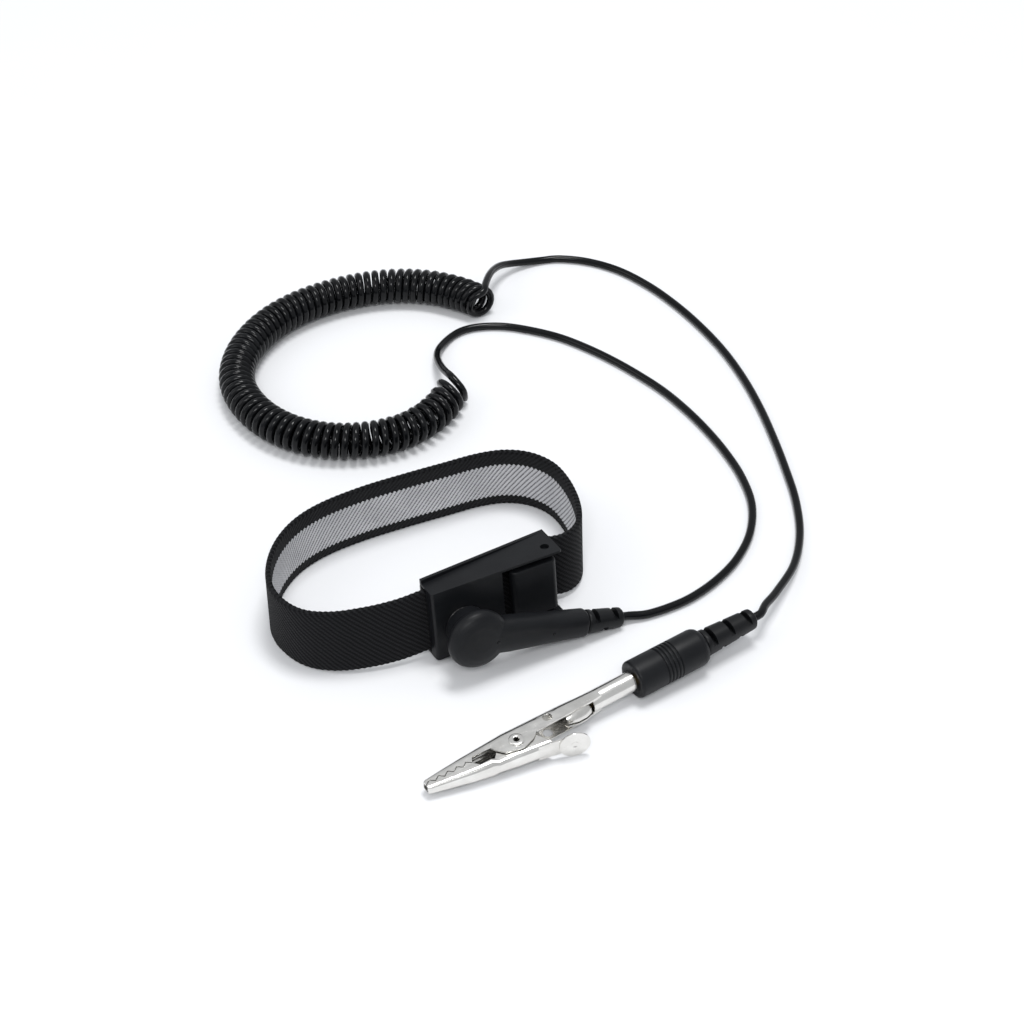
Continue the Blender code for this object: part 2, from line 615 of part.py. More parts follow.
def pivot_hole(jaw, parent):
    hole = turned(f"{jaw.name}_pivot_hole", solid_rod(RIVET_RADIUS + SLIDING_GAP, -7.0, 7.0), "Z", parent,
                  sides=SMALL_ROUND, centre=(*PIVOT, 0.0))
    boolean(jaw, hole, "DIFFERENCE")


def make_upper_jaw(parent):
    """Upper jaw: one folded steel channel with its barrel, side lobes at the pivot and five teeth."""
    stations = [(9.6, -1.9, BARREL_RADIUS, 1.8), (20.0, -2.4, CLIP_HALF_WIDTH, 2.2),
                (31.0, -2.6, CLIP_HALF_WIDTH, 2.2), (37.0, -2.7, CLIP_HALF_WIDTH, 2.1),
                (50.0, -2.3, half_width(50.0), 1.5), (CLIP_TIP - 0.9, -1.6, half_width(CLIP_TIP - 0.9), 0.9),
                (CLIP_TIP, -1.1, TIP_HALF_WIDTH, 0.8), (CLIP_TIP + 1.0, -0.6, TIP_HALF_WIDTH, 0.8)]
    spine = [(10.4, -6.0), (CLIP_TIP, -6.0)]
    edge = list(reversed(tooth_line(-GAP / 2)))
    edge += [(46.4, -0.1), (41.4, 0.5), (40.6, 2.0), (39.2, 3.8)]
    edge += arc(PIVOT, 2.95, 60, 115, 5)
    edge += [(31.4, 3.8), (29.6, 2.35), (20.0, 2.3), (14.0, 2.0), (10.4, 1.6)]
    jaw = folded_jaw("clip_upper_jaw", spine + edge, stations, 1, BARREL_END, parent)
    sleeve = ring_profile(BARREL_BORE, BARREL_RADIUS, 0.4, BARREL_END)
    barrel = turned("clip_barrel", sleeve, "X", parent, sides=28)
    bore = turned("clip_barrel_bore", solid_rod(BARREL_BORE, -1.0, BARREL_END), "X", parent, sides=28)
    boolean(jaw, bore, "DIFFERENCE")
    boolean(jaw, barrel, "UNION")
    pivot_hole(jaw, parent)
    window = prism("clip_side_window", arc((25.2, 0.3), 1.25, 0, 330, 11), -7.0, 7.0, parent)
    boolean(jaw, window, "DIFFERENCE")
    ears = turned("clip_crimp_ears", EAR_PROFILE, "X", parent, sides=28, centre=(0.0, 1.2, 0.0))
    boolean(ears, block("clip_ear_keep", (13.0, 1.6, -6.0), (22.0, 8.0, 6.0), parent), "INTERSECT")
    boolean(ears, block("clip_ear_slit", (12.0, 1.0, -0.3), (23.0, 9.0, 0.3), parent), "DIFFERENCE")
    boolean(jaw, ears, "UNION")


def make_lower_jaw(parent):
    """Lower jaw: a channel between the upper one's sides, with matching teeth and a round thumb pad."""
    narrow = CLIP_HALF_WIDTH - SHEET - 0.25
    stations = [(24.0, 7.9, narrow, 1.4), (28.0, 7.4, narrow, 1.4), (37.0, 6.2, narrow, 1.4),
                (41.8, 5.4, half_width(41.8) - 0.75, 1.2), (43.2, 5.15, half_width(43.2), 1.5),
                (48.0, 4.3, half_width(48.0), 1.3), (CLIP_TIP - 0.8, 1.7, half_width(CLIP_TIP - 0.8), 0.8),
                (CLIP_TIP, 1.2, TIP_HALF_WIDTH, 0.7), (CLIP_TIP + 1.0, 0.6, TIP_HALF_WIDTH, 0.7)]
    spine = [(CLIP_TIP, 12.0), (28.0, 12.0), (28.0, 7.0)]
    edge = [(29.2, 4.9), (30.4, 2.3), (31.6, 0.8), (33.4, -0.4), (37.2, -0.4), (39.8, 0.9), (42.2, 3.3),
            (46.0, 3.1), (46.8, 2.1)]
    jaw = folded_jaw("clip_lower_jaw", spine + edge + tooth_line(GAP / 2), stations, -1, 23.0, parent)
    handle = [(32.0, 6.7), (28.5, 7.25), (26.0, 7.9), (21.5, 9.55), (21.3, 9.1), (26.0, 7.4), (28.5, 6.8),
              (32.0, 6.5)]
    boolean(jaw, prism("clip_handle", handle, -narrow, narrow, parent), "UNION")
    disc = [(0.0, -0.25), (PAD_RADIUS - 0.15, -0.25), (PAD_RADIUS, -0.1), (PAD_RADIUS, 0.25), (1.0, 0.25),
            (0.7, 0.05), (0.0, 0.05)]
    pad = turned("clip_thumb_pad", disc, "Y", parent, sides=28)
    pad.location = (PAD_PLACE[0] * MM, PAD_PLACE[1] * MM, 0.0)
    pad.rotation_euler.z = math.radians(-19.0)
    boolean(jaw, pad, "UNION")
    pivot_hole(jaw, parent)


def make_clip_rivet(parent):
    """Tubular rivet through both jaws, and the torsion spring wound round it."""
    reach = CLIP_HALF_WIDTH + SLIDING_GAP
    rolled = 1.9
    profile = [(0.7, -reach - 0.2), (1.0, -reach - 0.35), (1.5, -reach - 0.35), (rolled, -reach - 0.15),
               (rolled, -reach), (RIVET_RADIUS, -reach), (RIVET_RADIUS, reach), (rolled, reach),
               (rolled, reach + 0.15), (1.5, reach + 0.35), (1.0, reach + 0.35), (0.7, reach + 0.2)]
    turned("clip_rivet", profile, "Z", parent, "nickel", sides=24, centre=(*PIVOT, 0.0))
    turns = 3.5
    steps = 12
    rise = 0.75
    radius = 1.7
    points = [(PIVOT[0] - 8.5, PIVOT[1] - 2.9, -rise * turns / 2)]
    for i in range(round(turns * steps) + 1):
        angle = math.tau * i / steps - math.pi / 2
        points.append((PIVOT[0] + radius * math.cos(angle), PIVOT[1] + radius * math.sin(angle),
                       rise * (i / steps - turns / 2)))
    points.append((PIVOT[0] - 5.0, PIVOT[1] + 3.2, rise * turns / 2))
    tube("clip_spring", points, 0.28, parent, "spring_steel")


def plug_place(x):
    """A place on the plug's and clip's axis, x along it, in the layout."""
    level = x * math.cos(PLUG_TILT)
    return (PLUG_FRONT[0] + level * math.cos(PLUG_TURN), PLUG_FRONT[1] + level * math.sin(PLUG_TURN),
            PLUG_FRONT[2] - x * math.sin(PLUG_TILT))


# --- Cord ------------------------------------------------------------------------------------

def make_cord(parent):
    """The free cord: a lead from the connector, the wound coil on the floor, and a lead to the plug."""
    floor = CORD_DIAMETER / 2 + FLOOR_CLEARANCE
    relief_end = ARM_END + RELIEF_LENGTH + 2 * GAP
    to_coil = [connector_place(relief_end), connector_place(relief_end + 2.5), (45.0, -35.2, 1.3),
               (51.6, -35.5, floor), (58.6, -34.9, floor), (67.2, -32.4, floor), (76.2, -27.9, floor),
               (84.8, -20.7, floor), (91.5, -11.0, floor), (95.1, -0.1, floor), (96.7, 10.7, floor),
               (97.2, 21.4, floor), (96.8, 31.9, floor),
               (95.5, 42.2, floor), (93.1, 51.8, floor), (90.0, 61.2, floor), (86.2, 70.1, floor),
               (81.6, 78.4, floor), (76.0, 85.2, floor), (69.7, 90.9, floor), (63.3, 94.1, floor),
               (57.6, 94.9, floor), (52.4, 93.2, floor), (47.2, 89.2, 1.8), (44.5, 85.0, 2.9),
               (42.9, 80.7, 4.2), (41.9, 76.8, 5.5), (41.4, 74.1, 6.4), (41.1, 71.7, 7.2)]
    tube("lead_strap_side", smooth_route(to_coil, 5.0), CORD_DIAMETER / 2, parent, "cord_jacket")
    height = COIL_DIAMETER / 2 + FLOOR_CLEARANCE
    coil = [(42.7, 68.5), (38.5, 64.6), (33.6, 60.5), (26.5, 57.0), (18.0, 55.6), (9.0, 57.0), (0.5, 61.0),
            (-6.5, 67.5), (-11.3, 76.0), (-13.5, 86.0), (-12.8, 96.0), (-8.8, 105.0), (-2.0, 112.8),
            (7.0, 118.8), (17.0, 122.2), (27.5, 123.2), (38.0, 122.2), (48.0, 119.0), (56.5, 113.6),
            (62.8, 106.5), (66.8, 99.3)]
    route = smooth_route([(x, y, height) for x, y in coil], 5.0)
    tube("coil", route, COIL_DIAMETER / 2, parent, "cord_jacket", resolution=4)
    to_plug = [(69.9, 104.6, 9.2), (72.2, 108.0, 8.6), (75.5, 111.3, 7.2), (80.0, 114.4, 5.2),
               (84.6, 116.1, 3.3), (89.5, 116.7, 1.9), (95.0, 116.2, floor), (100.8, 114.2, floor),
               (107.9, 108.6, floor), (113.8, 100.2, floor), (117.8, 88.9, floor), (120.0, 76.6, floor),
               (120.9, 63.7, floor), (120.6, 50.5, floor), (118.8, 36.9, floor), (115.8, 23.4, floor),
               (111.9, 10.1, floor), (107.6, -2.7, floor), (102.8, -15.2, floor), (96.4, -27.0, 1.2),
               (87.6, -37.6, 2.4), (76.6, -46.2, 4.6), (70.6, -50.2, 6.0)]
    relief_end = -GRIP_LENGTH - PLUG_RELIEF_LENGTH - 2 * GAP
    to_plug += [plug_place(relief_end - 2.5), plug_place(relief_end)]
    tube("lead_plug_side", smooth_route(to_plug, 5.0), CORD_DIAMETER / 2, parent, "cord_jacket")


def build():
    clear_scene()
    layout = empty("layout", (LAYOUT_SHIFT[0], LAYOUT_SHIFT[1], 0.0))
    buckle = empty("buckle_frame_axes", BUCKLE_CORNER, (-BUCKLE_LEAN, 0.0, 0.0), layout)
    make_band(layout, buckle)
    make_buckle_frame(buckle)
    make_contact_plate(buckle)
    make_stud(buckle)
    make_lever(buckle)
    connector = empty("connector_axes", (STUD_X, 0.0, STUD_Z), (0.0, ARM_SLOPE, 0.0), buckle)
    make_connector(connector)
    make_resistor(connector)
    relief("strain_relief_strap", ARM_END + GAP, RELIEF_LENGTH, 6.0, 5.0, connector, 3, arm_depth, 0.95)
    plug = empty("plug_axes", PLUG_FRONT, (0.0, PLUG_TILT, PLUG_TURN), layout)
    make_plug(plug)
    relief_axes = empty("plug_relief_axes", (-GRIP_LENGTH - GAP, 0.0, 0.0), (0.0, 0.0, math.pi), plug)
    relief("strain_relief_plug", 0.0, PLUG_RELIEF_LENGTH, 6.6, 5.2, relief_axes, 5, lambda x: 0.0, 1.0)
    make_upper_jaw(plug)
    make_lower_jaw(plug)
    make_clip_rivet(plug)
    make_cord(layout)


build()
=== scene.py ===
import json
import math

import bmesh
import bpy
from mathutils import Matrix, Quaternion, Vector


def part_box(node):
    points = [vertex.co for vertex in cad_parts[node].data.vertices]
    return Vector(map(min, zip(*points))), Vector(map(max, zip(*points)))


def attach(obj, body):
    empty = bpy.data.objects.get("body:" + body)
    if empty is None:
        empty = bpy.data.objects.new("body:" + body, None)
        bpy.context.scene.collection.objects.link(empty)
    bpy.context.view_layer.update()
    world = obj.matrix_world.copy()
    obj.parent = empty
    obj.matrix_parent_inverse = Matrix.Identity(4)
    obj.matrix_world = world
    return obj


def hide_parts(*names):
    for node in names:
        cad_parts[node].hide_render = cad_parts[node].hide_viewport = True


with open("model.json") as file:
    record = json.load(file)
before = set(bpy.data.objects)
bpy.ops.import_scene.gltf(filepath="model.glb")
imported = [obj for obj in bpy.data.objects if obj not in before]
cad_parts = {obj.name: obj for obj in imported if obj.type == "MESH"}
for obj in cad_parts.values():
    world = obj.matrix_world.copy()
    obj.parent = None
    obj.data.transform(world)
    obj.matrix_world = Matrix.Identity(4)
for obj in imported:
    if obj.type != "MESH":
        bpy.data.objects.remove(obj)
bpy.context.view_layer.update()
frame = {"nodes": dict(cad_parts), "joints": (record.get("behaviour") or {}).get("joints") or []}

NODES = frame["nodes"]
JOINTS = {joint["name"]: joint for joint in frame["joints"]}
MM = 0.001

# Camera: it looks down at the layout from its front left
CAMERA_TARGET = (0.03297, 0.0188, 0.0)
CAMERA_TURN = math.radians(27.5)
CAMERA_RISE = math.radians(41.0)
CAMERA_DISTANCE = 0.6023
CAMERA_LENS = 78.98
CAMERA_SENSOR = 36.0
CAMERA_FAR = 20.0

# Light: a dim room, and three soft lights, each with its place, width, height and power
ROOM_COLOUR = (0.95, 0.97, 1.0, 1.0)
ROOM_STRENGTH = 0.58
LIGHT_TARGET = (0.03, 0.03, 0.0)
SOFTBOXES = {"front_box": ((-0.45, -0.85, 1.15), 0.6, 0.3, 7.5),
             "top_box": ((0.25, 0.15, 1.4), 0.55, 0.35, 12.0),
             "left_box": ((-1.2, 0.35, 0.9), 0.8, 0.9, 3.0)}
FLOOR_HALF_SIZE = 3.0

# Sizes below are in millimetres, in the part's own frames
GAP = 0.3
FLOOR_GAP = 0.05

# Buckle, stud and contact plate
BUCKLE_CORNER = (-9.7, -26.1)
BUCKLE_LENGTH = 36.2
BUCKLE_MIDDLE = 10.0
DEPTH_LEFT = 6.7
DEPTH_GROWTH = 4.3
PLATE_THICKNESS = 0.9
CLOTH_CLEARANCE = 0.4
STUD = (7.8, 0.0, 9.0)
RIVET_RADIUS = 1.1

# Band: its section, the stitches along its edges, and the lean of its front part in degrees
BAND_HEIGHT = 18.2
BAND_THICKNESS = 1.6
SIDE_INSET = 0.05
EDGE_INSET = 0.18
STITCH_HEIGHT = 0.16
SIDE_ROWS = 9
BAND_LEAN = 8.0
LEAN_START = -4.0
LEAN_LENGTH = 14.0

# Weave of the band
RIB_PITCH = 1.45
STEPS_PER_RIB = 6
STITCH_PITCH = 0.62
STRIPE_PITCH = 1.3
STRIPE_STITCH_PITCH = 0.52
STRIPE_LOW = -6.1
STRIPE_HIGH = 5.0
WEAVE_SCALE = 100.0
# The knit's colour follows its height: darker in the low places and lighter on the raised ribs, painted shade
# in the hollows
KNIT_PAINTED_SHADE = (0.002, 0.002, 0.0025)
KNIT_LIGHT = (0.011, 0.0115, 0.013)

# Cord, and its coil: the first turns stand open, and the turns at both ends lean, by (turn, lift) in degrees
CORD_RADIUS = 1.1
CORD_STEP = 1.2
CORD_STRAIGHT = 2.5
COIL_RADIUS = 4.1
COIL_HEIGHT = 5.25
COIL_STEP = 0.12
COIL_PITCH = 2.46
COIL_OPENING = 3.8
OPENING_LENGTH = 9.0
POINTS_PER_TURN = 22
FIRST_LEAN = (-35.0, 30.0)
FIRST_LEAN_LENGTH = 16.0
FIRST_SAG = 0.35
LAST_LEAN = (-30.0, 0.0)
LAST_LEAN_LENGTH = 14.0

# Connector: the head's profile is (radius, depth behind its top)
ARM_SLOPE = math.radians(13.2)
ARM_SPREAD = math.tan(math.radians(0.5))
ARM_DEPTH = 7.5
ARM_END = 30.3
ARM_BORE = 3.4
HEAD_DEPTH = 11.2
HEAD_PROFILE = [(0.0, 0.0), (2.5, 0.05), (4.8, 0.3), (6.2, 0.75), (7.2, 1.45), (7.8, 2.3), (7.95, 3.1),
                (7.75, 4.1), (7.1, 4.9), (5.6, 5.6)]
COLLAR_RADIUS = 5.35
COLLAR_BACK = 1.15
SEAT_RADIUS = 4.7
SEAT_DEPTH = 6.4
SHELL_VOXEL = 0.22

# Strain reliefs: sizes are across the first and the last end
SLOT_WIDTH = 1.4
SLOT_FLOOR = 0.18
RELIEF_BORE = 1.5
RELIEF_LENGTH = 10.2
RELIEF_SIZES = (6.0, 5.0)
PLUG_RELIEF_LENGTH = 15.6
PLUG_RELIEF_SIZES = (6.6, 5.2)

# Plug grip
GRIP_LENGTH = 20.9
GRIP_RADIUS = 4.9
GRIP_BORE = 1.75
RIB_COUNT = 5
FIRST_RIB = -7.6
RIB_SPACING = 1.05

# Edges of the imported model's pieces, in degrees, and the reach of the weld, in metres
EDGE_ANGLE = 32.0
FLAT_ANGLE = 0.4
WELD_REACH = 0.000003


# --- Frames of the part's groups, from the record's joints -----------------------------------

def axes(origin, x, y, z):
    """A matrix from millimetres in a local frame to metres in the row frame."""
    turn = Matrix((x, y, z)).transposed().to_4x4()
    return Matrix.Translation(origin) @ turn @ Matrix.Scale(MM, 4)


def joint_vector(name, key):
    return Vector(JOINTS[name][key])


def buckle_axes():
    into = joint_vector("strap_unsnap", "axis").normalized()
    up = joint_vector("cam_lever", "axis").normalized()
    along = into.cross(up).normalized()
    stud = joint_vector("strap_swivel", "pos_m")
    return axes(stud - (along * STUD[0] + up * STUD[2]) * MM, along, into, up)


def connector_axes():
    turned_down = Matrix.Rotation(ARM_SLOPE, 4, "Y")
    return buckle_axes() @ Matrix.Translation(STUD) @ turned_down


def plug_axes():
    along = joint_vector("clip_turn", "axis").normalized()
    up = joint_vector("clip_jaw", "axis").normalized()
    across = up.cross(along).normalized()
    return axes(joint_vector("clip_turn", "pos_m"), along, across, along.cross(across))


BUCKLE = buckle_axes()
CONNECTOR = connector_axes()
PLUG = plug_axes()
LAYOUT = Vector((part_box("buckle_frame")[0][0] / MM - BUCKLE_CORNER[0],
                 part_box("buckle_frame")[0][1] / MM - BUCKLE_CORNER[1], 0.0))
LAYOUT_AXES = Matrix.Scale(MM, 4) @ Matrix.Translation(LAYOUT)


# --- Camera ----------------------------------------------------------------------------------

def make_camera():
    data = bpy.data.cameras.new("camera")
    data.lens = CAMERA_LENS
    data.sensor_width = CAMERA_SENSOR
    data.clip_end = CAMERA_FAR
    camera = bpy.data.objects.new("camera", data)
    bpy.context.scene.collection.objects.link(camera)
    level = math.cos(CAMERA_RISE)
    away = Vector((-math.sin(CAMERA_TURN) * level, -math.cos(CAMERA_TURN) * level, math.sin(CAMERA_RISE)))
    camera.location = Vector(CAMERA_TARGET) + away * CAMERA_DISTANCE
    camera.rotation_euler = (-away).to_track_quat("-Z", "Y").to_euler()
    bpy.context.scene.camera = camera


make_camera()


# --- Mesh tools ------------------------------------------------------------------------------

def add_mesh(name, tool, matrix):
    bmesh.ops.recalc_face_normals(tool, faces=tool.faces)
    mesh = bpy.data.meshes.new(name)
    tool.to_mesh(mesh)
    tool.free()
    mesh.transform(matrix)
    mesh.shade_smooth()
    made = bpy.data.objects.new(name, mesh)
    bpy.context.scene.collection.objects.link(made)
    return made


def loft(name, rings, matrix):
    """A closed solid through rings of equal length."""
    tool = bmesh.new()
    loops = [[tool.verts.new(point) for point in ring] for ring in rings]
    count = len(loops[0])
    for first, second in zip(loops, loops[1:]):
        for i in range(count):
            j = (i + 1) % count
            tool.faces.new((first[i], first[j], second[j], second[i]))
    tool.faces.new(loops[0])
    tool.faces.new(loops[-1])
    return add_mesh(name, tool, matrix)


def block(name, low, high, matrix):
    outline = [(low[0], low[1]), (high[0], low[1]), (high[0], high[1]), (low[0], high[1])]
    return loft(name, [[(x, y, z) for x, y in outline] for z in (low[2], high[2])], matrix)


def turned(name, profile, axis, matrix, sides, centre=(0.0, 0.0, 0.0)):
    """A solid turned about X or Y, from (radius, distance along the axis) points."""
    tool = bmesh.new()
    loops = []
    for radius, along in profile:
        if radius == 0.0:
            loops.append([tool.verts.new((0.0, 0.0, along))])
            continue
        ring = []
        for i in range(sides):
            angle = math.tau * i / sides
            ring.append(tool.verts.new((radius * math.cos(angle), radius * math.sin(angle), along)))
        loops.append(ring)
    pairs = list(zip(loops, loops[1:]))
    if profile[0][0] > 0.0:
        pairs.append((loops[-1], loops[0]))
    for first, second in pairs:
        for i in range(sides):
            j = (i + 1) % sides
            corners = [first[i % len(first)], first[j % len(first)]]
            corners += [second[j % len(second)], second[i % len(second)]]
            face = []
            for corner in corners:
                if corner not in face:
                    face.append(corner)
            tool.faces.new(face)
    turn = {"X": Matrix.Rotation(math.pi / 2, 4, "Y"), "Y": Matrix.Rotation(-math.pi / 2, 4, "X")}[axis]
    return add_mesh(name, tool, matrix @ Matrix.Translation(centre) @ turn)


def rod(radius, start, end):
    """Profile of a solid rod, for turned()."""
    return [(0.0, start), (radius, start), (radius, end), (0.0, end)]


def boolean(target, tool, operation):
    """Join or cut with a tool that is itself kept out of the picture."""
    modifier = target.modifiers.new(tool.name, "BOOLEAN")
    modifier.operation = operation
    modifier.object = tool
    tool.hide_render = True
    tool.hide_viewport = True
    tool.display_type = "WIRE"


def bevel(obj, width):
    """Round the sharp edges and shade the flat faces flat."""
    modifier = obj.modifiers.new("edges", "BEVEL")
    modifier.width = width * MM
    modifier.segments = 2
    modifier.limit_method = "ANGLE"
    modifier.angle_limit = math.radians(EDGE_ANGLE)
    modifier.use_clamp_overlap = True
    normals = obj.modifiers.new("normals", "WEIGHTED_NORMAL")
    normals.keep_sharp = False
    normals.weight = 80


def finish_node(name, width):
    """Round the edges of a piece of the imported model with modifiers, its own vertices left as they are."""
    obj = NODES[name]
    obj.data.shade_smooth()
    weld = obj.modifiers.new("weld", "WELD")
    weld.merge_threshold = WELD_REACH
    flat = obj.modifiers.new("flat", "DECIMATE")
    flat.decimate_type = "DISSOLVE"
    flat.angle_limit = math.radians(FLAT_ANGLE)
    bevel(obj, width)
    return obj


def smooth_route(points, step):
    """Points about a step apart on a smooth curve through given points."""
    cuts = 24
    knots = [Vector(p) for p in points]
    knots = [knots[0] * 2 - knots[1]] + knots + [knots[-1] * 2 - knots[-2]]
    dense = []
    for i in range(1, len(knots) - 2):
        before, start, end, after = knots[i - 1:i + 3]
        for k in range(cuts):
            t = k / cuts
            dense.append(0.5 * ((2 * start) + (end - before) * t
                                + (2 * before - 5 * start + 4 * end - after) * t * t
                                + (3 * start - before - 3 * end + after) * t ** 3))
    dense.append(knots[-2])
    lengths = [0.0]
    for a, b in zip(dense, dense[1:]):
        lengths.append(lengths[-1] + (b - a).length)
    count = max(2, round(lengths[-1] / step))
    route = []
    k = 0
    for i in range(count + 1):
        wanted = lengths[-1] * i / count
        while k < len(dense) - 2 and lengths[k + 1] < wanted:
            k += 1
        share = (wanted - lengths[k]) / max(lengths[k + 1] - lengths[k], 1e-9)
        route.append(dense[k].lerp(dense[k + 1], min(share, 1.0)))
    return route


# --- Materials -------------------------------------------------------------------------------

class Shader:
    """A small helper that adds nodes to one material. Each material function calls its own helper s."""

    def __init__(self, name):
        self.material = bpy.data.materials.new(name)
        self.material.use_nodes = True
        self.tree = self.material.node_tree
        self.surface = self.tree.nodes["Principled BSDF"]

    def put(self, socket, value):
        if isinstance(value, bpy.types.NodeSocket):
            self.tree.links.new(value, socket)
        elif isinstance(value, tuple) and len(value) == 3 and socket.type == "RGBA":
            socket.default_value = (*value, 1.0)
        else:
            socket.default_value = value

    def node(self, kind, settings=(), **inputs):
        made = self.tree.nodes.new(kind)
        for key, value in dict(settings).items():
            setattr(made, key, value)
        for key, value in inputs.items():
            self.put(made.inputs[key.replace("_", " ")], value)
        return made

    def math(self, operation, a, b=0.0, c=0.0):
        made = self.tree.nodes.new("ShaderNodeMath")
        made.operation = operation
        for socket, value in zip(made.inputs, (a, b, c)):
            self.put(socket, value)
        return made.outputs[0]

    def place(self):
        return self.node("ShaderNodeTexCoord").outputs["Object"]

    def stretched(self, scale):
        return self.node("ShaderNodeMapping", Vector=self.place(), Scale=scale).outputs[0]

    def noise(self, scale, detail=3.0, vector=None):
        made = self.node("ShaderNodeTexNoise", Scale=scale, Detail=detail)
        self.put(made.inputs["Vector"], vector or self.place())
        return made.outputs["Fac"]

    def ramp(self, value, low, high, out_low, out_high):
        made = self.tree.nodes.new("ShaderNodeMapRange")
        for key, number in (("From Min", low), ("From Max", high), ("To Min", out_low), ("To Max", out_high)):
            made.inputs[key].default_value = number
        self.put(made.inputs["Value"], value)
        return made.outputs[0]

    def mix(self, share, first, second):
        made = self.tree.nodes.new("ShaderNodeMix")
        made.data_type = "RGBA"
        self.put(made.inputs[0], share)
        self.put(made.inputs[6], first)
        self.put(made.inputs[7], second)
        return made.outputs[2]

    def bump(self, height, depth, strength, after=None):
        made = self.node("ShaderNodeBump", Height=height, Distance=depth, Strength=strength)
        if after is not None:
            self.put(made.inputs["Normal"], after)
        return made.outputs[0]

    def finish(self, **inputs):
        for key, value in inputs.items():
            self.put(self.surface.inputs[key.replace("_", " ")], value)
        return self.material


def plastic(name, dark, light, rough, specular, grain):
    """Moulded plastic: fine spark grain, slow shade changes, and faint handling marks."""
    s = Shader(name)
    slow = s.noise(140.0, 4.0)
    marks = s.noise(60.0, 5.0, s.stretched((1.0, 3.0, 7.0)))
    fine = s.noise(5200.0, 2.0)
    colour = s.mix(s.ramp(slow, 0.35, 0.7, 0.0, 1.0), dark, light)
    worn = s.ramp(marks, 0.3, 0.75, rough - 0.05, rough + 0.08)
    shine = s.math("ADD", worn, s.ramp(fine, 0.3, 0.7, -0.03, 0.03))
    normal = s.bump(slow, 0.00012, 0.25, s.bump(fine, 0.00002, grain))
    return s.finish(Base_Color=colour, Roughness=shine, Normal=normal, Specular_IOR_Level=specular)


def jacket():
    """Glossy cord jacket with slight drawing marks and dust."""
    s = Shader("cord_jacket_glossy")
    slow = s.noise(90.0, 3.0)
    skin = s.noise(1500.0, 3.0)
    fine = s.noise(6000.0, 2.0)
    colour = s.mix(s.ramp(slow, 0.3, 0.7, 0.0, 1.0), (0.0022, 0.0024, 0.003), (0.0045, 0.005, 0.0058))
    shine = s.math("ADD", s.ramp(skin, 0.3, 0.75, 0.13, 0.2), s.ramp(slow, 0.3, 0.7, -0.02, 0.03))
    normal = s.bump(skin, 0.00003, 0.2, s.bump(fine, 0.00001, 0.3))
    return s.finish(Base_Color=colour, Roughness=shine, Normal=normal, Specular_IOR_Level=0.2)


def metal(name, dark, light, rough, stretch, scratch, one_face=None):
    """Plated or drawn metal: fine scratches one way, soft stains and uneven gloss.

    With a direction in one_face, only the faces that look that way are bare; the others are painted black.
    """
    s = Shader(name)
    lines = s.noise(420.0, 3.0, s.stretched(stretch))
    stain = s.noise(160.0, 4.0)
    speck = s.noise(2600.0, 2.0)
    colour = s.mix(s.ramp(stain, 0.3, 0.75, 0.0, 1.0), light, dark)
    brushed = s.ramp(lines, 0.25, 0.75, rough - 0.04, rough + 0.07)
    shine = s.math("ADD", brushed, s.ramp(speck, 0.55, 0.75, 0.0, 0.04))
    normal = s.bump(lines, 0.00002, scratch, s.bump(stain, 0.00008, 0.2))
    if one_face is None:
        return s.finish(Base_Color=colour, Roughness=shine, Metallic=1.0, Normal=normal)
    facing = s.node("ShaderNodeVectorMath", {"operation": "DOT_PRODUCT"}).outputs["Value"]
    s.put(facing.node.inputs[0], s.node("ShaderNodeTexCoord").outputs["Normal"])
    facing.node.inputs[1].default_value = one_face
    bare = s.math("GREATER_THAN", facing, 0.9)
    return s.finish(Base_Color=s.mix(bare, (0.008, 0.0085, 0.01), colour), Metallic=bare, Normal=normal,
                    Roughness=s.math("MULTIPLY_ADD", s.math("SUBTRACT", 1.0, bare), 0.2, shine))


def along_band(s):
    """Distance along the band and height across it, in millimetres."""
    split = s.node("ShaderNodeSeparateXYZ", Vector=s.node("ShaderNodeUVMap", {"uv_map": "weave"}).outputs[0])
    along, up = split.outputs[0], split.outputs[1]
    return s.math("MULTIPLY", along, WEAVE_SCALE), s.math("MULTIPLY", up, WEAVE_SCALE)


def wave(s, value):
    """A smooth 0 to 1 wave, one for each whole number of value."""
    turn = s.math("COSINE", s.math("MULTIPLY", value, math.tau))
    return s.math("MULTIPLY_ADD", turn, 0.5, 0.5)


def knit(s):
    """Height of the black elastic knit, slanted ribs made of short stitches, and the place on the band."""
    u, v = along_band(s)
    drift = s.ramp(s.noise(260.0, 3.0), 0.3, 0.7, -0.12, 0.12)
    rib = s.math("ADD", s.math("DIVIDE", s.math("SUBTRACT", u, v), RIB_PITCH), drift)
    stitch = s.math("DIVIDE", s.math("ADD", v, s.math("MULTIPLY", u, 0.35)), STITCH_PITCH)
    row = wave(s, rib)
    loop = wave(s, s.math("ADD", stitch, s.math("MULTIPLY", s.math("FLOOR", rib), 0.5)))
    fuzz = s.noise(4200.0, 3.0)
    height = s.math("ADD", s.math("MULTIPLY", row, 0.62), s.math("MULTIPLY", loop, 0.26))
    return s.math("ADD", height, s.math("MULTIPLY", fuzz, 0.22)), u, v


def band_outer():
    """The outer face and the edges: black knit, matt and a little fuzzy, with painted shade darkening its
    hollows.
    """
    s = Shader("band_knit_black")
    height = knit(s)[0]
    colour = s.mix(s.ramp(height, 0.2, 0.95, 0.0, 1.0), KNIT_PAINTED_SHADE, KNIT_LIGHT)
    normal = s.bump(height, 0.00026, 0.9)
    shine = s.ramp(height, 0.2, 1.0, 0.95, 0.72)
    return s.finish(Base_Color=colour, Roughness=shine, Normal=normal, Specular_IOR_Level=0.12,
                    Sheen_Weight=0.03, Sheen_Roughness=0.5)


